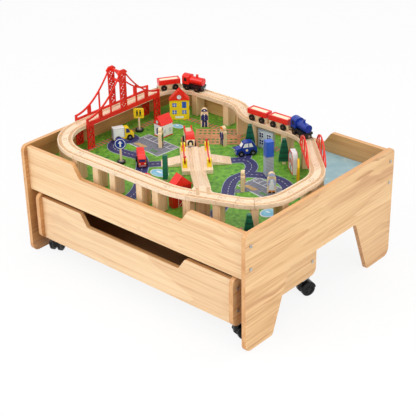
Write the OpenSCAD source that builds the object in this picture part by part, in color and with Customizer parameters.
// Wooden train table: a low play table on end-panel legs, a trundle drawer on castors,
// a raised railway loop with a suspension bridge and a level crossing, two trains and toys.
// The origin is on the floor under the middle of the table. +X runs along the table, +Z is up.

/* [Table] */
// Length of the table over both end panels
table_l = 770; // [700:5:900]
// Depth of the end panels
table_w = 610; // [540:5:700]
// Height of the end panels
table_h = 320; // [300:5:380]
// Thickness of every upright panel
panel_t = 12; // [10:0.5:15]
// Setback of the front and back panels from the end panels' edges
panel_setback = 12; // [8:1:20]
// How far the front and back panels stop below the end panels' tops
rail_drop = 4; // [0:1:12]
// Height of the front and back panels
rail_h = 124; // [110:1:130]
// Width of a table hand scoop at its top
scoop_w = 400; // [300:10:480]
// Depth of a table hand scoop
scoop_d = 36; // [25:1:45]
// Height of the arch between the legs of an end panel
arch_h = 161; // [120:1:180]
// Width of that arch at its top
arch_top_w = 280; // [220:5:320]
// Width of that arch at the floor
arch_foot_w = 404; // [340:5:440]
// How far the play board's top face lies below the end panels' tops
board_drop = 61; // [55:1:75]
// Thickness of the play board and of the drawer bottom
board_t = 6; // [4:0.5:9]
// Side of the square cleats under the board
cleat_s = 15; // [10:1:20]
// Diameter of a connecting bolt's shank
bolt_d = 6; // [5:0.5:8]
// Diameter of a bolt head
bolt_head_d = 9; // [8:0.5:15]
// Distance between the two bolts at a corner of the table
bolt_pitch = 61; // [45:1:75]

/* [Drawer] */
// Gap between the drawer's sides and the end panels
drawer_side_gap = 28; // [23:1:60]
// Gap between the drawer's sides and the table's front panel above them
drawer_top_gap = 4; // [3:1:12]
// Depth of the drawer sides
drawer_d = 330; // [280:5:400]
// Height of the drawer's underside above the floor
drawer_z = 54; // [48:1:56]
// How far the drawer's front edges lie behind the end panels' edges
drawer_setback = 2; // [0:1:20]
// How far the drawer front and back stop below the sides' tops
drawer_front_drop = 10; // [4:1:16]
// Width of the drawer hand scoop at its top
drawer_scoop_w = 368; // [280:4:420]
// Depth of the drawer hand scoop
drawer_scoop_d = 34; // [24:1:44]

/* [Castors] */
// Diameter of a castor wheel
castor_d = 38; // [34:1:40]
// Width of one castor wheel
castor_wheel_w = 9.5; // [7:0.5:12]
// Distance from the swivel axis to the wheel axle
castor_trail = 14; // [10:1:18]
// How far the wheel axles at rest turn away from the drawer's width
castor_yaw = 22; // [0:1:40]
// Distance from the swivel axis to the drawer's outer side
castor_side_inset = 18.5; // [18:0.5:40]
// Distance from the swivel axis to the drawer's end
castor_end_inset = 38; // [36:1:60]
// Side of a castor plate
castor_plate_s = 36; // [32:1:36]

/* [Track] */
// Width of the wooden track
track_w = 40; // [38:0.5:42]
// Thickness of the wooden track
track_t = 12; // [11:0.5:14]
// Distance between the middles of the two wheel grooves
track_gauge = 26; // [25:0.5:27]
// Width of a wheel groove
groove_w = 8; // [7.6:0.1:8.4]
// Depth of a wheel groove
groove_d = 3; // [2.5:0.5:4]
// Height of the tall piers
pier_h = 62; // [58:1:70]
// Size of a pier along the track
pier_l = 20; // [16:1:26]
// Size of a pier across the track
pier_w = 34; // [28:1:38]
// Gap between the loop's outer edge and the end panels
loop_gap_x = 7; // [4:1:14]
// Gap between the loop's outer edge and the front and back panels
loop_gap_y = 5; // [3:1:14]
// Centreline radius of the front left corner
corner_r = 135; // [120:5:150]
// Centreline radius of the back left corner
back_corner_r = 91; // [88:1:100]
// Centreline radius of the other curves
curve_r = 110; // [105:1:115]
// Centreline radius of the gentle bend before the junction
bend_r = 200; // [180:5:220]
// Angle of that gentle bend
bend_a = 20; // [16:1:24]
// Length of the junction along the loop
junction_l = 77; // [70:1:90]
// How far right of the table's middle the junction starts
junction_x = 159; // [140:1:175]
// Turn of the first curve after the junction's straight
link_turn = 22; // [16:1:40]
// Length of the back straight that the blue train stands on
siding_l = 120; // [110:1:130]
// How far the S-bend moves the back line towards the back panel
s_bend_shift = 56; // [44:1:64]
// Height of a bow rail above the track
bow_h = 50; // [40:1:60]

/* [Bridge] */
// Height of the bridge towers above the deck girder
tower_h = 111; // [90:1:125]
// Width of a bridge tower
tower_w = 24; // [20:1:30]
// Height of the side girders
girder_h = 12; // [10:0.5:16]
// Thickness of a bridge side
truss_t = 4; // [3:0.5:5]

/* [Crossing] */
// Length of the level crossing along its track
crossing_l = 150; // [140:1:165]
// Width of the level crossing plate
crossing_w = 82; // [74:1:90]
// Run of the ramp track from the junction down to the crossing
ramp_run = 214; // [190:1:230]
// Length of a road ramp
road_ramp_l = 52; // [40:1:60]
// Width of a road ramp
road_ramp_w = 46; // [36:1:60]
// Length of a barrier arm
barrier_l = 96; // [80:1:104]

/* [Trains] */
// Length of an engine
engine_l = 66; // [60:1:68]
// Length of a wagon
wagon_l = 64; // [58:1:66]
// Distance between a vehicle's axles
wheelbase = 34; // [30:1:36]
// Diameter of a train wheel
train_wheel_d = 18; // [17:0.5:19]
// Width of a train wheel
train_wheel_w = 3.8; // [3.2:0.1:4]
// Width of a wagon's box and of an engine's cab
car_w = 27; // [25:0.5:28]
// Width of the chassis block between the wheels
chassis_w = 20; // [18:0.5:20.5]

/* [Toys] */
// Length of a toy road vehicle
auto_l = 59; // [54:1:66]
// Width of a toy road vehicle
auto_w = 20; // [18:0.5:26]
// Diameter of a toy road vehicle's wheel
auto_wheel_d = 16; // [14:0.5:18]
// Width of the tall house
house_w = 56; // [46:1:60]
// Height of the tall house to its ridge
house_h = 92; // [80:1:96]
// Height of a flat tree
tree_h = 72; // [60:1:80]
// Height of a flat wooden figure
figure_h = 57; // [50:1:60]
// Height of a road sign's post
sign_h = 40; // [34:1:46]

/* [Hidden] */

$fn = 48;
// Straight pieces in each rounded corner of a panel
round_steps = 6;
// Overrun of every cut past the face it opens
over = 1;
// Clearance round bolts, nuts and the loose board
clear = 0.25;
// Radial clearance of a shaft or pin in its bore
run_clear = 0.05;
// Clearance between moving pieces that pass each other
pass_clear = 0.4;
// Seam left between neighbouring track pieces
seam = 0.4;

// Table values
top_round = 16;
leg_round = 20;
leg_inner_round = 10;
arch_round = 12;
scoop_lean = 25;
scoop_round = 10;
bolt_head_t = 2.4;
bolt_socket_d = 4;
bolt_socket_t = 1.4;
bolt_reach = 40;
nut_d = 10;
nut_l = 10;
nut_setback = 34;
top_bolt_drop = 30;
board_z = table_h - board_drop;
half_l = table_l / 2;
half_w = table_w / 2;
inner_l = table_l - 2 * panel_t;
rail_y = half_w - panel_setback - panel_t;
rail_top = table_h - rail_drop;
rail_z = rail_top - rail_h;
bolt_zs = [rail_top - top_bolt_drop, rail_top - top_bolt_drop - bolt_pitch];
bolt_line_y = rail_y + panel_t / 2;

// Drawer values
drawer_round = 18;
drawer_front_setback = 12;
drawer_scoop_lean = 23;
drawer_top_bolt_drop = 20;
drawer_w = inner_l - 2 * drawer_side_gap;
drawer_h = rail_z - drawer_top_gap - drawer_z;
drawer_y0 = -half_w + drawer_setback;
drawer_y1 = drawer_y0 + drawer_d;
drawer_inner_w = drawer_w - 2 * panel_t;
drawer_front_h = drawer_h - drawer_front_drop;
drawer_front_y = drawer_y0 + drawer_front_setback;
drawer_back_y = drawer_y1 - drawer_front_setback - panel_t;
drawer_bolt_top_z = drawer_z + drawer_front_h - drawer_top_bolt_drop;
drawer_bolt_zs = [drawer_bolt_top_z, drawer_bolt_top_z - drawer_front_h / 2];

// Castor values
castor_plate_t = 2.5;
castor_plate_round = 5;
castor_pin_d = 8;
castor_pin_l = 9;
castor_boss_d = 20;
castor_web_w = 12;
castor_axle_d = 6;
castor_hub_gap = 0.6;
castor_fender_t = 2;
castor_hood_lift = 2;
castor_rim_share = 0.62;
castor_dish = 1.6;
castor_r = castor_d / 2;
castor_swivel_x = drawer_w / 2 - castor_side_inset;
castor_swivel_front_y = drawer_y0 + castor_end_inset;
castor_swivel_rear_y = drawer_y1 - castor_end_inset;
castor_top_z = drawer_z - castor_plate_t;
castor_half_w = castor_web_w / 2 + castor_hub_gap + castor_wheel_w;

// Track values
track_z = board_z + pier_h;
track_top = track_z + track_t;
junction_fillet = 16;
junction_stem_l = 45;
bow_t = 3;
bow_strip = 4;
bow_hang = 7;
bow_posts = 3;
loop_x = half_l - panel_t - loop_gap_x - track_w / 2;
loop_y = rail_y - loop_gap_y - track_w / 2;
siding_y = loop_y - s_bend_shift;
s_bend_a = acos(1 - s_bend_shift / (2 * curve_r));
// Share of the right side's climb for its straight; the straight between the bow rails takes the rest
side_share = 0.4383;
link_l = (loop_x - curve_r * (1 - sin(bend_a)) - junction_x) / cos(bend_a) - junction_l;
front_l = junction_x - bend_r * sin(bend_a) + loop_x - corner_r;
right_climb = loop_y + siding_y - bend_r * (1 - cos(bend_a)) - (junction_l + link_l) * sin(bend_a)
    - curve_r * cos(bend_a) - curve_r * sin(45) - curve_r * (1 - cos(45));
side_l = right_climb * side_share;
bow_l = right_climb * (1 - side_share) / sin(45);
siding_x = loop_x - curve_r * (1 - cos(45)) - bow_l * cos(45) - curve_r * sin(45);
back_l = siding_x - siding_l - 2 * curve_r * sin(s_bend_a) + loop_x - back_corner_r;
bridge_l = 2 * loop_y - corner_r - back_corner_r;

// The loop from the bridge's front end: "s" pieces have a length, "c" pieces a radius and a turn
chain = [
    ["c", corner_r, 45], ["c", corner_r, 45],
    ["s", front_l / 2], ["s", front_l / 2],
    ["c", bend_r, bend_a], ["j", junction_l], ["s", link_l],
    ["c", curve_r, link_turn], ["c", curve_r, 90 - bend_a - link_turn],
    ["s", side_l], ["c", curve_r, 45], ["s", bow_l], ["c", curve_r, 45],
    ["s", siding_l], ["c", curve_r, -s_bend_a], ["c", curve_r, s_bend_a],
    ["s", back_l], ["c", back_corner_r, 45], ["c", back_corner_r, 45]];
junction_i = 5;
side_i = 9;
bow_i = 11;
loop_start = [-loop_x, corner_r - loop_y, 270];
// Where the piers stand: the piece of the loop above them, and a share of that piece's length
pier_place_shares = [[1, 0], [2, 0], [2, 0.51], [2, 0.91], [3, 0.53], [3, 0.89], [5, 0], [6, 0], [8, 0],
    [8, 0.75], [10, 0], [11, 0], [12, 0], [13, 0.12], [14, 0], [15, 0], [16, 0], [17, 0], [18, 0]];

// The pose [x, y, heading] after one piece of track
function after(p, piece) =
    piece[0] != "c" ? [p.x + piece[1] * cos(p.z), p.y + piece[1] * sin(p.z), p.z]
    : let (side = sign(piece[2]), r = side * piece[1], h = p.z + piece[2])
      r == 0 ? p : [p.x - r * sin(p.z) + r * sin(h), p.y + r * cos(p.z) - r * cos(h), h];
// A share of one piece of track
function part_of(piece, share) = piece[0] == "c" ? ["c", piece[1], piece[2] * share]
    : [piece[0], piece[1] * share];
function pose_at(i) = i == 0 ? loop_start : after(pose_at(i - 1), chain[i - 1]);
// The pose at a distance along the heading of another pose
function ahead(p, d) = [p.x + d * cos(p.z), p.y + d * sin(p.z), p.z];

// Bridge values
bridge_y = loop_start.y + bridge_l / 2;
bridge_gap = 0.5;
girder_lift = 5;
girder_z = track_z + girder_lift;
leg_w = 24;
cap_w = 34;
cap_h = 12;
cap_side_share = 0.35;
cap_top_share = 0.45;
cable_t = 5;
cable_steps = 12;
cable_low = 8;
cable_power = 2;
bridge_post_w = 12;
bridge_post_share = 0.6;
hanger_w = 3.5;
hanger_share = 0.3;
bridge_end_w = 7;
lattice_rim = 3;
lattice_bar = 2.2;
tower_bays = 6;
leg_bays = 3;
beam_h = 7;
truss_x = track_w / 2 + bridge_gap;
girder_top = girder_z + girder_h;
tower_top = girder_top + tower_h;
cable_top = tower_top - cap_h;
cable_reach = bridge_l / 2 - tower_w / 2;

// Crossing values
crossing_a = 135;
crossing_t = track_t;
crossing_round = 3;
road_ramp_lip = 1.5;
post_l = 13;
post_w = 12;
post_h = 22;
post_edge = 3;
post_end_inset = 24;
barrier_t = 4;
barrier_w = 5;
barrier_knob_d = 9;
barrier_pin_d = 3;
barrier_z = 15;
junction_mid = ahead(pose_at(junction_i), junction_l / 2);
ramp_start = ahead([junction_mid.x, junction_mid.y, crossing_a], junction_stem_l);
crossing_start = ahead(ramp_start, ramp_run);
crossing_top = board_z + crossing_t;
post_x = crossing_w / 2 - post_edge - post_w / 2;

// Train values
groove_z = track_top - groove_d;
wheel_lift = 0.3;
train_wheel_r = train_wheel_d / 2;
train_axle_d = 3;
train_axle_z = groove_z + wheel_lift + train_wheel_r;
chassis_lift = 1.5;
chassis_z = track_top + chassis_lift;
chassis_h = 15;
chassis_top = chassis_z + chassis_h;
coupler_d = 7;
coupler_l = 4;
tub_wall = 4.5;
tub_h = 14;
tub_floor = 3;
load_sink = 1.5;
boiler_d = 22;
boiler_lift = 1;
cab_l = 23;
cab_h = 28;
cab_roof_r = 18;
chimney_d = 7;
chimney_h = 7;
chimney_share = 0.5;
engine_turn = 8;
wagon_turn = 57.5;
red_centre = [-loop_x + back_corner_r, loop_y - back_corner_r];
// Shift towards the curve's centre that keeps both axles over the grooves
function chord_shift(r) = r - sqrt(r * r - wheelbase * wheelbase / 4);
function on_back_corner(turn) = let (r = back_corner_r - chord_shift(back_corner_r))
    [red_centre.x - r * sin(turn), red_centre.y + r * cos(turn), turn];
red_engine_pose = on_back_corner(engine_turn);
red_wagon_pose = on_back_corner(wagon_turn);
blue_turn = 20;
blue_centre = [siding_x, siding_y - curve_r];
blue_engine_pose = let (r = curve_r - chord_shift(curve_r))
    [blue_centre.x + r * sin(blue_turn), blue_centre.y + r * cos(blue_turn), -blue_turn];
coupler_gap = 1;
middle_wagon_setback = 38;
middle_wagon_pose = [siding_x - middle_wagon_setback, siding_y, 0];
tail_wagon_pose = [middle_wagon_pose.x - wagon_l - 2 * coupler_l - coupler_gap, siding_y, 0];

// Toy values
auto_wheelbase_share = 0.56;
auto_wheel_w = 4.5;
auto_wheel_seat = 0.5;
auto_body_z = 5;
auto_h = 34;
ladder_truck_share = 1.2;
ladder_rail_w = 3.5;
ladder_rail_inset = 0.5;
ladder_rail_h = 9;
house_d = 20;
house_eave_share = 0.66;
cottage_w = 33;
cottage_l = 40;
cottage_h = 62;
cottage_eave_share = 0.6;
barn_w = 54;
barn_l = 22;
barn_h = 84;
barn_eave_share = 0.66;
eave_over = 2;
block_w = 50;
block_d = 12;
block_h = 56;
spire_s = 20;
spire_h = 97;
spire_top_share = 0.57;
clinic_w = 48;
clinic_d = 14;
clinic_h = 60;
clinic_shoulder_share = 0.72;
shed_w = 32;
shed_d = 5;
shed_h = 64;
shed_eave_share = 0.7;
tree_w = 30;
tree_t = 12;
trunk_w = 9;
trunk_h = 8;
tree_tip_w = 10;
tree_taper = 1.3;
tree_tiers = 8;
sign_base_d = 24;
sign_base_t = 6;
sign_post_d = 6;
sign_plate = 29;
big_sign_plate = 33;
small_sign_plate = 26;
sign_plate_t = 4;
sign_socket = 3;
figure_w = 22;
figure_t = 10;
figure_head_d = 17;
figure_round = 5;
// Marks of the railway that the toys stand by: ends, centres of curves and the crossing
bridge_mark = [-loop_x, bridge_y];
back_left_mark = red_centre;
front_left_mark = [corner_r - loop_x, corner_r - loop_y];
back_right_mark = blue_centre;
front_right_mark = [loop_x - curve_r, pose_at(side_i).y];
crossing_mark = [crossing_start.x, crossing_start.y];
// Places beside a mark as shares of the curves' radius, each with a turn in degrees
house_shares = [-0.174, 0.275];
house_turn = 42;
cottage_shares = [1.043, 0.541];
cottage_turn = -5;
barn_shares = [0.705, -1.383];
barn_turn = 75;
block_shares = [-0.727, 0.924];
block_turn = 2;
spire_shares = [0.224, -0.191];
spire_turn = 60;
clinic_shares = [0.565, 0.319];
clinic_turn = -39;
shed_shares = [0.965, -0.019];
shed_turn = 131;
tree_marks = [back_right_mark, back_right_mark, crossing_mark, front_right_mark];
tree_place_shares = [[-1.039, 0.66], [0.138, 0.518], [-0.394, -0.691], [0.927, -1.229]];
tree_turns = [42, 42, 130, 42];
sign_marks = [bridge_mark, front_left_mark, crossing_mark];
sign_place_shares = [[0.399, 0.319], [0.155, -0.024], [-0.133, -1.583]];
sign_turns = [42, 42, 42];
sign_plates = [sign_plate, big_sign_plate, small_sign_plate];
sign_shapes = ["square", "round", "round"];
figure_marks = [bridge_mark, crossing_mark, back_right_mark, crossing_mark, crossing_mark];
figure_place_shares = [[1.518, 1.588], [-0.618, 1.659], [0.853, -0.869], [-1.771, 0.612], [1.349, 0.05]];
figure_turns = [42, -18, 42, 120, 125];
delivery_shares = [0.433, -0.312];
delivery_turn = 62;
box_truck_shares = [-1.449, -0.423];
box_truck_turn = -40;
blue_car_shares = [-0.91, 0.344];
blue_car_turn = 236;
ladder_shares = [-1.33, 1.174];
ladder_turn = -42;

// Plane geometry
function unit(v) = v / norm(v);
function turned(v, a) = [v.x * cos(a) - v.y * sin(a), v.x * sin(a) + v.y * cos(a)];
// Points of the round of radius r that replaces corner b between a and c
function corner_round(a, b, c, r) =
    r == 0 ? [b]
    : let (u = unit(a - b), v = unit(c - b), half = acos(u * v) / 2,
           centre = b + unit(u + v) * r / sin(half),
           from = b + u * r / tan(half) - centre,
           sweep = -sign(cross(u, v)) * (180 - 2 * half))
      [for (i = [0 : round_steps]) centre + turned(from, sweep * i / round_steps)];
function rounded(points, radii) = let (n = len(points))
    [for (i = [0 : n - 1])
        each corner_round(points[(i + n - 1) % n], points[i], points[(i + 1) % n], radii[i])];
function box_points(x0, y0, x1, y1) = [[x0, y0], [x1, y0], [x1, y1], [x0, y1]];

// Stands a flat outline up: its x runs along X, its y up, its thickness along +Y from y
module upright(y, thick) {
    translate([0, y + thick, 0]) rotate([90, 0, 0]) linear_extrude(thick) children();
}

// Stands a flat outline up across the table: its x runs along Y, its thickness along +X from x
module crosswise(x, thick) {
    translate([x, 0, 0]) rotate([90, 0, 90]) linear_extrude(thick) children();
}

module at_pose(pose) {
    translate([pose.x, pose.y, 0]) rotate([0, 0, pose.z]) children();
}

// Places a toy on the board beside a mark of the layout, by shares of the curves' radius
module on_board(mark, shares, turn) {
    translate([mark.x + shares.x * curve_r, mark.y + shares.y * curve_r, board_z])
        rotate([0, 0, turn]) children();
}

// A cylinder along +X
module rod(d, l) {
    rotate([0, 90, 0]) cylinder(d = d, h = l);
}

// A cylinder along Y, centred
module cross_rod(d, l) {
    rotate([90, 0, 0]) cylinder(d = d, h = l, center = true);
}

// Table
module end_panel_outline() {
    foot = arch_foot_w / 2;
    top = arch_top_w / 2;
    polygon(rounded(
        [[-half_w, 0], [-foot, 0], [-top, arch_h], [top, arch_h], [foot, 0], [half_w, 0],
            [half_w, table_h], [-half_w, table_h]],
        [leg_round, leg_inner_round, arch_round, arch_round, leg_inner_round, leg_round,
            top_round, top_round]));
}

module end_panel(x) {
    difference() {
        crosswise(x, panel_t) end_panel_outline();
        for (y = [-bolt_line_y, bolt_line_y], z = bolt_zs)
            translate([x - over, y, z]) rod(bolt_d + 2 * clear, panel_t + 2 * over);
    }
}

// A panel w wide with a leaning hand scoop in its top edge
module scooped_outline(w, z0, z1, scoop_top, lean, depth) {
    a = scoop_top / 2;
    polygon(rounded(
        [[-w / 2, z0], [w / 2, z0], [w / 2, z1], [a, z1], [a - lean, z1 - depth],
            [lean - a, z1 - depth], [-a, z1], [-w / 2, z1]],
        [0, 0, 0, scoop_round, scoop_round, scoop_round, scoop_round, 0]));
}

// Holes at both ends of a panel w wide: bolt holes along X, and nut holes from one face
module connector_holes(w, y, zs, face) {
    for (s = [-1, 1], z = zs) {
        translate([s * w / 2 - s * bolt_reach / 2 + s * over / 2, y, z]) rotate([0, 90, 0])
            cylinder(d = bolt_d + 2 * clear, h = bolt_reach + over, center = true);
        translate([s * (w / 2 - nut_setback), y + face * (panel_t + over - nut_l - clear) / 2, z])
            cross_rod(nut_d + 2 * clear, nut_l + clear + over);
    }
}

module rail_panel(side) {
    difference() {
        upright(side * bolt_line_y - panel_t / 2, panel_t)
            scooped_outline(inner_l, rail_z, rail_top, scoop_w, scoop_lean, scoop_d);
        connector_holes(inner_l, side * bolt_line_y, bolt_zs, -side);
    }
}

// One bolt along +X from the outer face of what it holds
module bolt(reach) {
    difference() {
        union() {
            translate([-bolt_head_t, 0, 0]) rod(bolt_head_d, bolt_head_t);
            rod(bolt_d, reach);
        }
        translate([-bolt_head_t - over, 0, 0]) rod(bolt_socket_d, bolt_socket_t + over, $fn = 6);
    }
}

// Bolts through both sides of a case w wide
module bolts(w, ys, zs) {
    for (s = [0, 1], y = ys, z = zs)
        mirror([s, 0, 0]) translate([-w / 2, y, z]) bolt(panel_t + bolt_reach - clear);
}

module barrel_nuts(w, ys, faces, zs) {
    for (s = [-1, 1], i = [0, 1], z = zs)
        translate([s * (w / 2 - nut_setback), ys[i] + faces[i] * (panel_t - nut_l) / 2, z])
            difference() {
                cross_rod(nut_d, nut_l);
                translate([-nut_d, 0, 0]) translate([0, -faces[i] * (panel_t - nut_l) / 2, 0])
                    rod(bolt_d + 2 * clear, 2 * nut_d);
            }
}

module left_end_panel() {
    color("burlywood") end_panel(-half_l);
}

module right_end_panel() {
    color("burlywood") end_panel(half_l - panel_t);
}

module front_panel() {
    color("burlywood") rail_panel(-1);
}

module back_panel() {
    color("burlywood") rail_panel(1);
}

module play_board() {
    color("yellowgreen") translate([-inner_l / 2 + clear, -rail_y + clear, board_z - board_t])
        cube([inner_l - 2 * clear, 2 * rail_y - 2 * clear, board_t]);
}

module board_cleats() {
    z = board_z - board_t - cleat_s;
    color("tan") {
        for (y = [-rail_y, rail_y - cleat_s])
            translate([-inner_l / 2, y, z]) cube([inner_l, cleat_s, cleat_s]);
        for (x = [-inner_l / 2, inner_l / 2 - cleat_s])
            translate([x, -rail_y + cleat_s, z]) cube([cleat_s, 2 * (rail_y - cleat_s), cleat_s]);
    }
}

module table_bolts() {
    color("silver") bolts(table_l, [-bolt_line_y, bolt_line_y], bolt_zs);
}

module table_barrel_nuts() {
    color("silver") barrel_nuts(inner_l, [-bolt_line_y, bolt_line_y], [1, -1], bolt_zs);
}

// Drawer
drawer_line_ys = [drawer_front_y + panel_t / 2, drawer_back_y + panel_t / 2];

module drawer_side(x) {
    difference() {
        crosswise(x, panel_t) polygon(rounded(
            box_points(drawer_y0, drawer_z, drawer_y1, drawer_z + drawer_h),
            [drawer_round, drawer_round, drawer_round, drawer_round]));
        for (y = drawer_line_ys, z = drawer_bolt_zs)
            translate([x - over, y, z]) rod(bolt_d + 2 * clear, panel_t + 2 * over);
    }
}

module drawer_front() {
    color("burlywood") difference() {
        upright(drawer_front_y, panel_t) scooped_outline(drawer_inner_w, drawer_z,
            drawer_z + drawer_front_h, drawer_scoop_w, drawer_scoop_lean, drawer_scoop_d);
        connector_holes(drawer_inner_w, drawer_line_ys[0], drawer_bolt_zs, 1);
    }
}

module drawer_back() {
    color("burlywood") difference() {
        translate([-drawer_inner_w / 2, drawer_back_y, drawer_z])
            cube([drawer_inner_w, panel_t, drawer_front_h]);
        connector_holes(drawer_inner_w, drawer_line_ys[1], drawer_bolt_zs, -1);
    }
}

module drawer_left_side() {
    color("burlywood") drawer_side(-drawer_w / 2);
}

module drawer_right_side() {
    color("burlywood") drawer_side(drawer_w / 2 - panel_t);
}

module drawer_bottom() {
    y0 = drawer_front_y + panel_t;
    color("burlywood") translate([-drawer_inner_w / 2, y0, drawer_z])
        cube([drawer_inner_w, drawer_back_y - y0, board_t]);
}

module drawer_bolts() {
    color("dimgray") bolts(drawer_w, drawer_line_ys, drawer_bolt_zs);
}

module drawer_barrel_nuts() {
    color("silver") barrel_nuts(drawer_inner_w, drawer_line_ys, [1, -1], drawer_bolt_zs);
}

// Castors
module at_castor(side, end) {
    y = end < 0 ? castor_swivel_front_y : castor_swivel_rear_y;
    translate([side * castor_swivel_x, y, 0]) rotate([0, 0, -side * castor_yaw]) children();
}

module castor_plates() {
    h = castor_plate_s / 2;
    color("silver") for (side = [-1, 1], end = [-1, 1])
        at_castor(side, end) rotate([0, 0, side * castor_yaw]) union() {
            translate([0, 0, castor_top_z]) linear_extrude(castor_plate_t)
                polygon(rounded(box_points(-h, -h, h, h), [for (i = [0 : 3]) castor_plate_round]));
            translate([0, 0, castor_top_z - castor_pin_l])
                cylinder(d = castor_pin_d, h = castor_pin_l + castor_plate_t / 2);
        }
}

// The hood of one castor: swivel boss, web between the wheels and a cover over both wheels
module castor_hood(side, end) {
    cover_r = castor_r + pass_clear;
    hood_r = cover_r + castor_fender_t;
    cut_w = castor_half_w - castor_web_w / 2 + over;
    color([0.1, 0.1, 0.1]) at_castor(side, end) difference() {
        union() {
            translate([0, 0, castor_r])
                cylinder(d = castor_boss_d, h = castor_top_z - pass_clear - castor_r);
            translate([-castor_web_w / 2, 0, 0]) rotate([90, 0, 90]) linear_extrude(castor_web_w)
                translate([castor_trail, castor_r]) circle(r = castor_r * castor_rim_share);
            translate([-castor_half_w, 0, 0]) rotate([90, 0, 90]) linear_extrude(2 * castor_half_w)
                translate([castor_trail, castor_r]) intersection() {
                    circle(r = hood_r);
                    translate([-hood_r, castor_hood_lift]) square([2 * hood_r, hood_r]);
                }
        }
        translate([-castor_half_w - over, castor_trail, castor_r])
            rod(castor_axle_d + 2 * run_clear, 2 * castor_half_w + 2 * over);
        translate([0, 0, castor_top_z - castor_pin_l - pass_clear])
            cylinder(d = castor_pin_d + 2 * run_clear, h = castor_pin_l + over);
        for (s = [-1, 1])
            translate([s * (castor_web_w + cut_w) / 2, castor_trail, castor_r]) rotate([0, 90, 0])
                cylinder(r = cover_r, h = cut_w, center = true);
    }
}

// Two dished wheels on one axle
module castor_wheels(side, end) {
    w0 = castor_web_w / 2 + castor_hub_gap;
    color([0.12, 0.12, 0.12]) at_castor(side, end) translate([0, castor_trail, castor_r])
        rotate([0, 90, 0]) union() {
            cylinder(d = castor_axle_d, h = 2 * w0 + castor_wheel_w, center = true);
            for (s = [-1, 1]) difference() {
                translate([0, 0, s * (w0 + castor_wheel_w / 2)])
                    cylinder(r = castor_r, h = castor_wheel_w, center = true);
                translate([0, 0, s * castor_half_w])
                    cylinder(r = castor_r * castor_rim_share, h = 2 * castor_dish, center = true);
            }
        }
}

module castor_hood_front_left() {
    castor_hood(-1, -1);
}

module castor_hood_front_right() {
    castor_hood(1, -1);
}

module castor_hood_rear_left() {
    castor_hood(-1, 1);
}

module castor_hood_rear_right() {
    castor_hood(1, 1);
}

module castor_wheels_front_left() {
    castor_wheels(-1, -1);
}

module castor_wheels_front_right() {
    castor_wheels(1, -1);
}

module castor_wheels_rear_left() {
    castor_wheels(-1, 1);
}

module castor_wheels_rear_right() {
    castor_wheels(1, 1);
}

// Track
// Cross section of the track with its two wheel grooves, from its underside
module track_profile() {
    difference() {
        translate([-track_w / 2, 0]) square([track_w, track_t]);
        for (s = [-1, 1])
            translate([s * track_gauge / 2 - groove_w / 2, track_t - groove_d])
                square([groove_w, groove_d + over]);
    }
}

module straight_track(l) {
    translate([seam / 2, 0, track_z]) rotate([90, 0, 90]) linear_extrude(l - seam) track_profile();
}

module curved_track(r, turn) {
    seam_a = seam / r * 180 / PI;
    mirror([0, turn < 0 ? 1 : 0, 0]) translate([0, r, track_z])
        rotate([0, 0, seam_a / 2 - 90]) rotate_extrude(angle = abs(turn) - seam_a, $fn = 96)
        translate([r, 0]) track_profile();
}

module track_straights() {
    color("wheat") for (i = [0 : len(chain) - 1]) if (chain[i][0] == "s")
        at_pose(pose_at(i)) straight_track(chain[i][1]);
}

module track_curves() {
    color("wheat") for (i = [0 : len(chain) - 1]) if (chain[i][0] == "c")
        at_pose(pose_at(i)) curved_track(chain[i][1], chain[i][2]);
}

// Strips of both wheel grooves, l long from the start of the heading
module groove_strips(x, l) {
    for (s = [-1, 1])
        translate([x, s * track_gauge / 2 - groove_w / 2]) square([l, groove_w]);
}

module track_junction() {
    pose = pose_at(junction_i);
    stem_a = crossing_a - pose.z;
    color("wheat") at_pose(pose) translate([0, 0, track_z]) difference() {
        linear_extrude(track_t) offset(r = -junction_fillet) offset(delta = junction_fillet) union() {
            translate([seam / 2, -track_w / 2]) square([junction_l - seam, track_w]);
            translate([junction_l / 2, 0]) rotate(stem_a)
                translate([0, -track_w / 2]) square([junction_stem_l - seam / 2, track_w]);
        }
        translate([0, 0, track_t - groove_d]) linear_extrude(groove_d + over) {
            groove_strips(-over, junction_l + 2 * over);
            translate([junction_l / 2, 0]) rotate(stem_a) groove_strips(0, junction_stem_l + over);
        }
    }
}

// Side view of the ramp, lifted by a height and cut to a thickness
module ramp_side(lift, thick) {
    polygon([[seam / 2, track_z + lift], [ramp_run - seam / 2, board_z + lift],
        [ramp_run - seam / 2, board_z + lift + thick], [seam / 2, track_z + lift + thick]]);
}

module track_ramp() {
    color("wheat") at_pose(ramp_start) difference() {
        upright(-track_w / 2, track_w) ramp_side(0, track_t);
        for (s = [-1, 1])
            upright(s * track_gauge / 2 - groove_w / 2, groove_w)
                ramp_side(track_t - groove_d, groove_d + over);
    }
}

module pier() {
    translate([-pier_l / 2, -pier_w / 2, board_z]) cube([pier_l, pier_w, pier_h]);
}

module track_piers() {
    color("wheat") {
        for (p = pier_place_shares) at_pose(after(pose_at(p[0]), part_of(chain[p[0]], p[1]))) pier();
        at_pose(ahead(ramp_start, -pier_l / 2 - seam)) pier();
    }
}

// An arched rail with blunt ends, in the plane of its length and height
module bow_outline() {
    chord = bow_l + 2 * bow_strip;
    r = (bow_h * bow_h + chord * chord / 4) / (2 * bow_h);
    inner_r = r - bow_strip;
    difference() {
        intersection() {
            translate([0, bow_h - r]) circle(r = r, $fn = 96);
            translate([-bow_l / 2, 0]) square([bow_l, bow_h]);
        }
        intersection() {
            translate([0, bow_h - r]) circle(r = inner_r, $fn = 96);
            difference() {
                translate([-bow_l / 2, bow_strip]) square([bow_l, bow_h]);
                for (i = [1 : bow_posts])
                    translate([(i / (bow_posts + 1) - 1 / 2) * bow_l - bow_strip / 2, 0])
                        square([bow_strip, bow_h]);
            }
        }
    }
}

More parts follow.
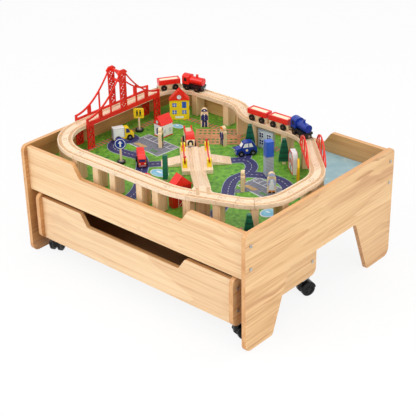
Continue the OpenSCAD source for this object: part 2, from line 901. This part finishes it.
module bow_rails() {
    y0 = track_w / 2 + bridge_gap / 2;
    color("red") at_pose(ahead(pose_at(bow_i), bow_l / 2)) for (y = [-y0 - bow_t, y0]) {
        translate([0, 0, track_top - bow_strip]) upright(y, bow_t) bow_outline();
        for (s = [-1, 1])
            translate([s * bow_l / 4 - bow_hang / 2, y, track_z + bow_strip / 2])
                cube([bow_hang, bow_t, track_t - bow_strip]);
    }
}

// Bridge
// A lattice strip w wide and h high: rims with crossed bars in each bay
module lattice(w, h, bays) {
    bay = (h - lattice_rim) / bays;
    inner = w - 2 * lattice_rim;
    clip = bay - lattice_rim;
    difference() {
        translate([-w / 2, 0]) square([w, h]);
        for (i = [0 : bays - 1]) translate([0, lattice_rim + i * bay + clip / 2])
            for (a = [0, 90, 180, 270]) {
                flat = a % 180 == 0 ? [inner / 2, clip / 2] : [clip / 2, inner / 2];
                rotate(a) polygon([[lattice_bar, 0], [flat.x, flat.y * (1 - lattice_bar / flat.x)],
                    [flat.x, -flat.y * (1 - lattice_bar / flat.x)]]);
            }
    }
}

function cable_z(u) = girder_top + cable_low
    + (cable_top - girder_top - cable_low) * pow(1 - u, cable_power);
function cable_s(u) = tower_w / 2 - lattice_rim / 2 + u * (cable_reach + lattice_rim / 2);

// One side of the bridge along its length, in heights above the floor
module truss_outline() {
    us = [for (i = [0 : cable_steps]) i / cable_steps];
    translate([-bridge_l / 2, girder_z]) square([bridge_l, girder_h]);
    translate([0, girder_top - over]) lattice(tower_w, tower_h - cap_h + 2 * over, tower_bays);
    translate([0, cable_top]) polygon([[-cap_w / 2, 0], [cap_w / 2, 0], [cap_w / 2, cap_h * cap_side_share],
        [cap_w * cap_top_share / 2, cap_h], [-cap_w * cap_top_share / 2, cap_h],
        [-cap_w / 2, cap_h * cap_side_share]]);
    for (s = [-1, 1]) mirror([s < 0 ? 1 : 0, 0]) {
        translate([bridge_l / 2 - leg_w / 2, board_z]) lattice(leg_w, girder_z - board_z + over, leg_bays);
        polygon([for (u = us) [cable_s(u), cable_z(u) + cable_t / 2],
            for (u = us) [cable_s(1 - u), cable_z(1 - u) - cable_t / 2]]);
        translate([cable_s(bridge_post_share), girder_top - over])
            lattice(bridge_post_w, cable_z(bridge_post_share) - girder_top + over, 1);
        translate([cable_s(hanger_share) - hanger_w / 2, girder_top - over])
            square([hanger_w, cable_z(hanger_share) - girder_top + over]);
        translate([bridge_l / 2 - bridge_end_w, girder_top - over])
            square([bridge_end_w, cable_low + cable_t / 2 + over]);
    }
}

module bridge_side(x) {
    translate([-loop_x, bridge_y, 0]) crosswise(x, truss_t) truss_outline();
}

// The left side carries the cross beams, which end at the right side's inner face
module bridge_left_side() {
    beam_l = 2 * truss_x + truss_t;
    color("orangered") union() {
        bridge_side(-truss_x - truss_t);
        translate([-loop_x - truss_x - truss_t, bridge_y - truss_t / 2, 0]) {
            for (z = [cable_top, cable_top - tower_h / 4])
                translate([0, 0, z]) cube([beam_l, truss_t, beam_h]);
            for (s = [-1, 1])
                translate([0, s * (bridge_l / 2 - leg_w / 2), track_z - beam_h])
                    cube([beam_l, truss_t, beam_h]);
        }
    }
}

module bridge_right_side() {
    color("orangered") union() {
        bridge_side(truss_x);
    }
}

module bridge_deck() {
    color("wheat") at_pose([-loop_x, loop_start.y + bridge_l, 270]) straight_track(bridge_l);
}

// Level crossing
module level_crossing() {
    color("wheat") at_pose(crossing_start) translate([0, 0, board_z]) {
        difference() {
            linear_extrude(crossing_t) polygon(rounded(
                box_points(seam / 2, -crossing_w / 2, crossing_l, crossing_w / 2),
                [for (i = [0 : 3]) crossing_round]));
            translate([0, 0, crossing_t - groove_d]) linear_extrude(groove_d + over)
                groove_strips(-over, crossing_l + 2 * over);
        }
        for (s = [0, 1]) mirror([0, s, 0])
            translate([crossing_l / 2 - road_ramp_w / 2, crossing_w / 2 + seam, 0]) rotate([90, 0, 90])
            linear_extrude(road_ramp_w) polygon([[0, 0], [road_ramp_l, 0], [road_ramp_l, road_ramp_lip],
                [0, crossing_t]]);
    }
}

// The pivot posts: the left arm turns at the near end, the right arm at the far end
barrier_pivots = [[post_end_inset, post_x, 0], [crossing_l - post_end_inset, -post_x, 180]];

module at_barrier(i) {
    at_pose(crossing_start) translate([barrier_pivots[i].x, barrier_pivots[i].y, crossing_top + barrier_z])
        rotate([0, 0, barrier_pivots[i].z]) children();
}

module barrier_posts() {
    slot_w = barrier_t + 2 * pass_clear;
    color("gold") for (x = [post_end_inset, crossing_l - post_end_inset], y = [-post_x, post_x])
        at_pose(crossing_start) translate([x, y, crossing_top]) difference() {
            translate([-post_l / 2, -post_w / 2, 0]) cube([post_l, post_w, post_h]);
            translate([-post_l / 2 - over, -slot_w / 2, barrier_z - barrier_w])
                cube([post_l + 2 * over, slot_w, post_h]);
            translate([0, 0, barrier_z]) cross_rod(barrier_pin_d + 2 * run_clear, post_w + 2 * over);
        }
}

module barrier_arm(i) {
    color("red") at_barrier(i) union() {
        translate([0, -barrier_t / 2, -barrier_w / 2]) cube([barrier_l, barrier_t, barrier_w]);
        cross_rod(barrier_pin_d, post_w - 2 * pass_clear);
        translate([barrier_l, 0, 0]) cross_rod(barrier_knob_d, barrier_t);
    }
}

module left_barrier_arm() {
    barrier_arm(0);
}

module right_barrier_arm() {
    barrier_arm(1);
}

// Trains
module axle(pose, end) {
    color([0.1, 0.1, 0.1]) at_pose(pose) translate([end * wheelbase / 2, 0, train_axle_z]) union() {
        cross_rod(train_axle_d, track_gauge);
        for (s = [-1, 1])
            translate([0, s * track_gauge / 2, 0]) cross_rod(train_wheel_d, train_wheel_w);
    }
}

// The block that the axles run through, with a round magnet coupler at each end
module chassis(l) {
    difference() {
        translate([-l / 2, -chassis_w / 2, chassis_z]) cube([l, chassis_w, chassis_h]);
        for (s = [-1, 1])
            translate([s * wheelbase / 2, 0, train_axle_z])
                cross_rod(train_axle_d + 2 * run_clear, chassis_w + 2 * over);
    }
    for (s = [0, 1]) mirror([s, 0, 0])
        translate([l / 2, 0, chassis_z + chassis_h / 2]) rod(coupler_d, coupler_l);
}

module wagon(pose) {
    color("wheat") at_pose(pose) chassis(wagon_l);
    color("crimson") at_pose(pose) translate([0, 0, chassis_top]) difference() {
        translate([-wagon_l / 2, -car_w / 2, 0]) cube([wagon_l, car_w, tub_h]);
        translate([-wagon_l / 2 + tub_wall, -car_w / 2 + tub_wall, tub_floor])
            cube([wagon_l - 2 * tub_wall, car_w - 2 * tub_wall, tub_h]);
    }
    color("ivory") at_pose(pose)
        translate([-wagon_l / 2 + tub_wall + clear, -car_w / 2 + tub_wall + clear, chassis_top + tub_floor])
        cube([wagon_l - 2 * (tub_wall + clear), car_w - 2 * (tub_wall + clear),
            tub_h - tub_floor - load_sink]);
}

// An engine facing +X of its pose: boiler, cab with a round roof and chimney
module engine(pose, paint) {
    boiler_z = chassis_top + boiler_lift + boiler_d / 2;
    cab_x = -engine_l / 2;
    front = engine_l / 2;
    color([0.12, 0.12, 0.12]) at_pose(pose) chassis(engine_l);
    color(paint) at_pose(pose) union() {
        translate([cab_x + cab_l - over, 0, boiler_z]) rod(boiler_d, front - cab_x - cab_l + over);
        translate([cab_x + cab_l - over, -boiler_d / 4, chassis_top])
            cube([front - cab_x - cab_l, boiler_d / 2, boiler_d / 2]);
        intersection() {
            translate([cab_x, -car_w / 2, chassis_top]) cube([cab_l, car_w, cab_h]);
            translate([cab_x, 0, chassis_top + cab_h - cab_roof_r]) union() {
                rod(2 * cab_roof_r, cab_l);
                translate([0, -car_w, -cab_h]) cube([cab_l, 2 * car_w, cab_h]);
            }
        }
        translate([cab_x + cab_l + chimney_share * (engine_l - cab_l), 0, boiler_z])
            cylinder(d = chimney_d, h = boiler_d / 2 + chimney_h);
    }
}

module red_engine() {
    engine(red_engine_pose, "red");
}

module red_engine_front_axle() {
    axle(red_engine_pose, 1);
}

module red_engine_rear_axle() {
    axle(red_engine_pose, -1);
}

module red_wagon() {
    wagon(red_wagon_pose);
}

module red_wagon_front_axle() {
    axle(red_wagon_pose, 1);
}

module red_wagon_rear_axle() {
    axle(red_wagon_pose, -1);
}

module blue_engine() {
    engine(blue_engine_pose, "blue");
}

module blue_engine_front_axle() {
    axle(blue_engine_pose, 1);
}

module blue_engine_rear_axle() {
    axle(blue_engine_pose, -1);
}

module middle_wagon() {
    wagon(middle_wagon_pose);
}

module middle_wagon_front_axle() {
    axle(middle_wagon_pose, 1);
}

module middle_wagon_rear_axle() {
    axle(middle_wagon_pose, -1);
}

module tail_wagon() {
    wagon(tail_wagon_pose);
}

module tail_wagon_front_axle() {
    axle(tail_wagon_pose, 1);
}

module tail_wagon_rear_axle() {
    axle(tail_wagon_pose, -1);
}

// Road vehicles
// Four wheels beside a body, at a share of the usual size, standing on the board
module auto_wheels(size_share = 1) {
    for (x = [-1, 1], y = [-1, 1])
        translate([x * auto_l * size_share * auto_wheelbase_share / 2,
            y * ((auto_w * size_share + auto_wheel_w) / 2 - auto_wheel_seat), auto_wheel_d / 2])
            cross_rod(auto_wheel_d, auto_wheel_w);
}

// A body from its side view, given as shares of the body's length and full height
module auto_body(shares, size_share = 1) {
    upright(-auto_w * size_share / 2, auto_w * size_share) polygon([for (p = shares)
        [(p.x - 1 / 2) * auto_l * size_share, auto_body_z + p.y * auto_h * size_share]]);
}

car_side_shares = [[0, 0], [1, 0], [1, 0.40], [0.95, 0.48], [0.78, 0.54], [0.64, 0.93], [0.58, 1],
    [0.26, 1], [0.19, 0.95], [0.04, 0.52], [0, 0.42]];
cab_side_shares = [[0.56, 0], [1, 0], [1, 0.40], [0.86, 0.48], [0.76, 0.94], [0.56, 0.94]];
bed_side_shares = [[0, 0], [0.58, 0], [0.58, 0.18], [0, 0.18]];
box_side_shares = [[0, 0.14], [0.54, 0.14], [0.54, 1], [0, 1]];
van_side_shares = [[0, 0], [1, 0], [1, 0.68], [0.70, 0.80], [0.64, 0.92], [0, 0.92]];
ladder_bed_shares = [[0, 0], [0.64, 0], [0.64, 0.55], [0, 0.55]];
ladder_cab_shares = [[0.62, 0], [1, 0], [1, 0.60], [0.92, 0.90], [0.62, 0.90]];

module blue_car() {
    color("royalblue") on_board(back_right_mark, blue_car_shares, blue_car_turn) auto_body(car_side_shares);
    color([0.1, 0.1, 0.1]) on_board(back_right_mark, blue_car_shares, blue_car_turn) auto_wheels();
}

module delivery_truck() {
    color("gold") on_board(bridge_mark, delivery_shares, delivery_turn) union() {
        auto_body(cab_side_shares);
        auto_body(bed_side_shares);
    }
    color("white") on_board(bridge_mark, delivery_shares, delivery_turn) auto_body(box_side_shares);
    color([0.1, 0.1, 0.1]) on_board(bridge_mark, delivery_shares, delivery_turn) auto_wheels();
}

module box_truck() {
    color("red") on_board(crossing_mark, box_truck_shares, box_truck_turn) auto_body(van_side_shares);
    color([0.1, 0.1, 0.1]) on_board(crossing_mark, box_truck_shares, box_truck_turn) auto_wheels();
}

module ladder_truck() {
    truck_l = auto_l * ladder_truck_share;
    rail_l = ladder_bed_shares[1].x * truck_l;
    rail_y = auto_w * ladder_truck_share / 2 - ladder_rail_w - ladder_rail_inset;
    bed_z = auto_body_z + ladder_bed_shares[2].y * auto_h * ladder_truck_share;
    color("red") on_board(crossing_mark, ladder_shares, ladder_turn)
        auto_body(ladder_cab_shares, ladder_truck_share);
    color("ivory") on_board(crossing_mark, ladder_shares, ladder_turn)
        auto_body(ladder_bed_shares, ladder_truck_share);
    color("red") on_board(crossing_mark, ladder_shares, ladder_turn) for (y = [-1, 1])
        translate([ladder_rail_inset - truck_l / 2, y > 0 ? rail_y : -rail_y - ladder_rail_w, bed_z - over])
            cube([rail_l, ladder_rail_w, ladder_rail_h + over]);
    color([0.1, 0.1, 0.1]) on_board(crossing_mark, ladder_shares, ladder_turn)
        auto_wheels(ladder_truck_share);
}

// Buildings
// A gabled block, w wide across the gable and l long, with a separate roof
module gabled(w, l, h, eave_share, wall, roof) {
    eave = h * eave_share;
    rise = h - eave;
    color(wall) upright(-l / 2, l) polygon([[-w / 2, 0], [w / 2, 0], [w / 2, eave], [-w / 2, eave]]);
    color(roof) upright(-l / 2 - eave_over, l + 2 * eave_over)
        polygon([[-w / 2 - eave_over, eave], [w / 2 + eave_over, eave], [0, eave + rise]]);
}

module toy_buildings() {
    on_board(back_left_mark, house_shares, house_turn)
        gabled(house_w, house_d, house_h, house_eave_share, "gold", "red");
    on_board(bridge_mark, cottage_shares, cottage_turn)
        gabled(cottage_w, cottage_l, cottage_h, cottage_eave_share, "white", "red");
    on_board(crossing_mark, barn_shares, barn_turn)
        gabled(barn_w, barn_l, barn_h, barn_eave_share, "firebrick", "red");
    color("lightgray") on_board(back_right_mark, block_shares, block_turn)
        translate([-block_w / 2, -block_d / 2, 0]) cube([block_w, block_d, block_h]);
    color("darkgray") on_board(back_right_mark, spire_shares, spire_turn)
        translate([-spire_s / 2, -spire_s / 2, 0]) cube([spire_s, spire_s, spire_h * spire_top_share]);
    color("royalblue") on_board(back_right_mark, spire_shares, spire_turn)
        translate([-spire_s / 2, -spire_s / 2, spire_h * spire_top_share])
        cube([spire_s, spire_s, spire_h * (1 - spire_top_share)]);
    color("white") on_board(back_right_mark, clinic_shares, clinic_turn) upright(-clinic_d / 2, clinic_d)
        polygon([[-clinic_w / 2, 0], [clinic_w / 2, 0], [clinic_w / 2, clinic_h * clinic_shoulder_share],
            [clinic_w / 4, clinic_h], [-clinic_w / 4, clinic_h],
            [-clinic_w / 2, clinic_h * clinic_shoulder_share]]);
    color("gold") on_board(back_right_mark, shed_shares, shed_turn) upright(-shed_d / 2, shed_d)
        polygon([[-shed_w / 2, 0], [shed_w / 2, 0], [shed_w / 2, shed_h * shed_eave_share], [0, shed_h],
            [-shed_w / 2, shed_h * shed_eave_share]]);
}

// Half width of a flat tree's crown at a tier
function tier_half(i) = tree_w / 2 - (tree_w - tree_tip_w) / 2 * pow(i / tree_tiers, tree_taper);

// A flat tree with a tapering crown on a short trunk
module flat_tree() {
    rise = (tree_h - trunk_h) / tree_tiers;
    color("tan") upright(-tree_t / 2, tree_t)
        translate([-trunk_w / 2, 0]) square([trunk_w, trunk_h]);
    color("darkgreen") upright(-tree_t / 2, tree_t) translate([0, trunk_h]) polygon(concat(
        [for (i = [0 : tree_tiers]) [tier_half(i), i * rise]],
        [for (i = [tree_tiers : -1 : 0]) [-tier_half(i), i * rise]]));
}

module toy_trees() {
    for (i = [0 : len(tree_marks) - 1])
        on_board(tree_marks[i], tree_place_shares[i], tree_turns[i]) flat_tree();
}

module road_sign(shape, plate, paint) {
    half = plate / 2;
    color([0.15, 0.15, 0.15]) cylinder(d = sign_base_d, h = sign_base_t);
    color("wheat") translate([0, 0, sign_base_t])
        cylinder(d = sign_post_d, h = sign_h - sign_base_t + sign_socket);
    color(paint) translate([0, 0, sign_h + half]) rotate([90, 0, 0]) {
        if (shape == "square")
            linear_extrude(sign_plate_t, center = true)
                polygon(rounded(box_points(-half, -half, half, half), [for (i = [0 : 3]) crossing_round]));
        else
            cylinder(d = plate, h = sign_plate_t, center = true);
    }
}

sign_paints = ["gold", "royalblue", "red"];

module road_signs() {
    for (i = [0 : len(sign_marks) - 1])
        on_board(sign_marks[i], sign_place_shares[i], sign_turns[i])
            road_sign(sign_shapes[i], sign_plates[i], sign_paints[i]);
}

// A flat wooden figure: a round head on a rounded body block
module toy_figure() {
    body_h = figure_h - figure_head_d * 3 / 4;
    color("burlywood") upright(-figure_t / 2, figure_t) union() {
        polygon(rounded(box_points(-figure_w / 2, 0, figure_w / 2, body_h),
            [0, 0, figure_round, figure_round]));
        translate([0, figure_h - figure_head_d / 2]) circle(d = figure_head_d);
    }
}

module toy_figures() {
    for (i = [0 : len(figure_marks) - 1])
        on_board(figure_marks[i], figure_place_shares[i], figure_turns[i]) toy_figure();
}

left_end_panel();
right_end_panel();
front_panel();
back_panel();
play_board();
board_cleats();
table_bolts();
table_barrel_nuts();
drawer_front();
drawer_back();
drawer_left_side();
drawer_right_side();
drawer_bottom();
drawer_bolts();
drawer_barrel_nuts();
castor_plates();
castor_hood_front_left();
castor_hood_front_right();
castor_hood_rear_left();
castor_hood_rear_right();
castor_wheels_front_left();
castor_wheels_front_right();
castor_wheels_rear_left();
castor_wheels_rear_right();
track_straights();
track_curves();
track_junction();
track_ramp();
track_piers();
level_crossing();
barrier_posts();
left_barrier_arm();
right_barrier_arm();
bridge_left_side();
bridge_right_side();
bridge_deck();
bow_rails();
red_engine();
red_engine_front_axle();
red_engine_rear_axle();
red_wagon();
red_wagon_front_axle();
red_wagon_rear_axle();
blue_engine();
blue_engine_front_axle();
blue_engine_rear_axle();
middle_wagon();
middle_wagon_front_axle();
middle_wagon_rear_axle();
tail_wagon();
tail_wagon_front_axle();
tail_wagon_rear_axle();
delivery_truck();
box_truck();
blue_car();
ladder_truck();
toy_buildings();
toy_trees();
road_signs();
toy_figures();
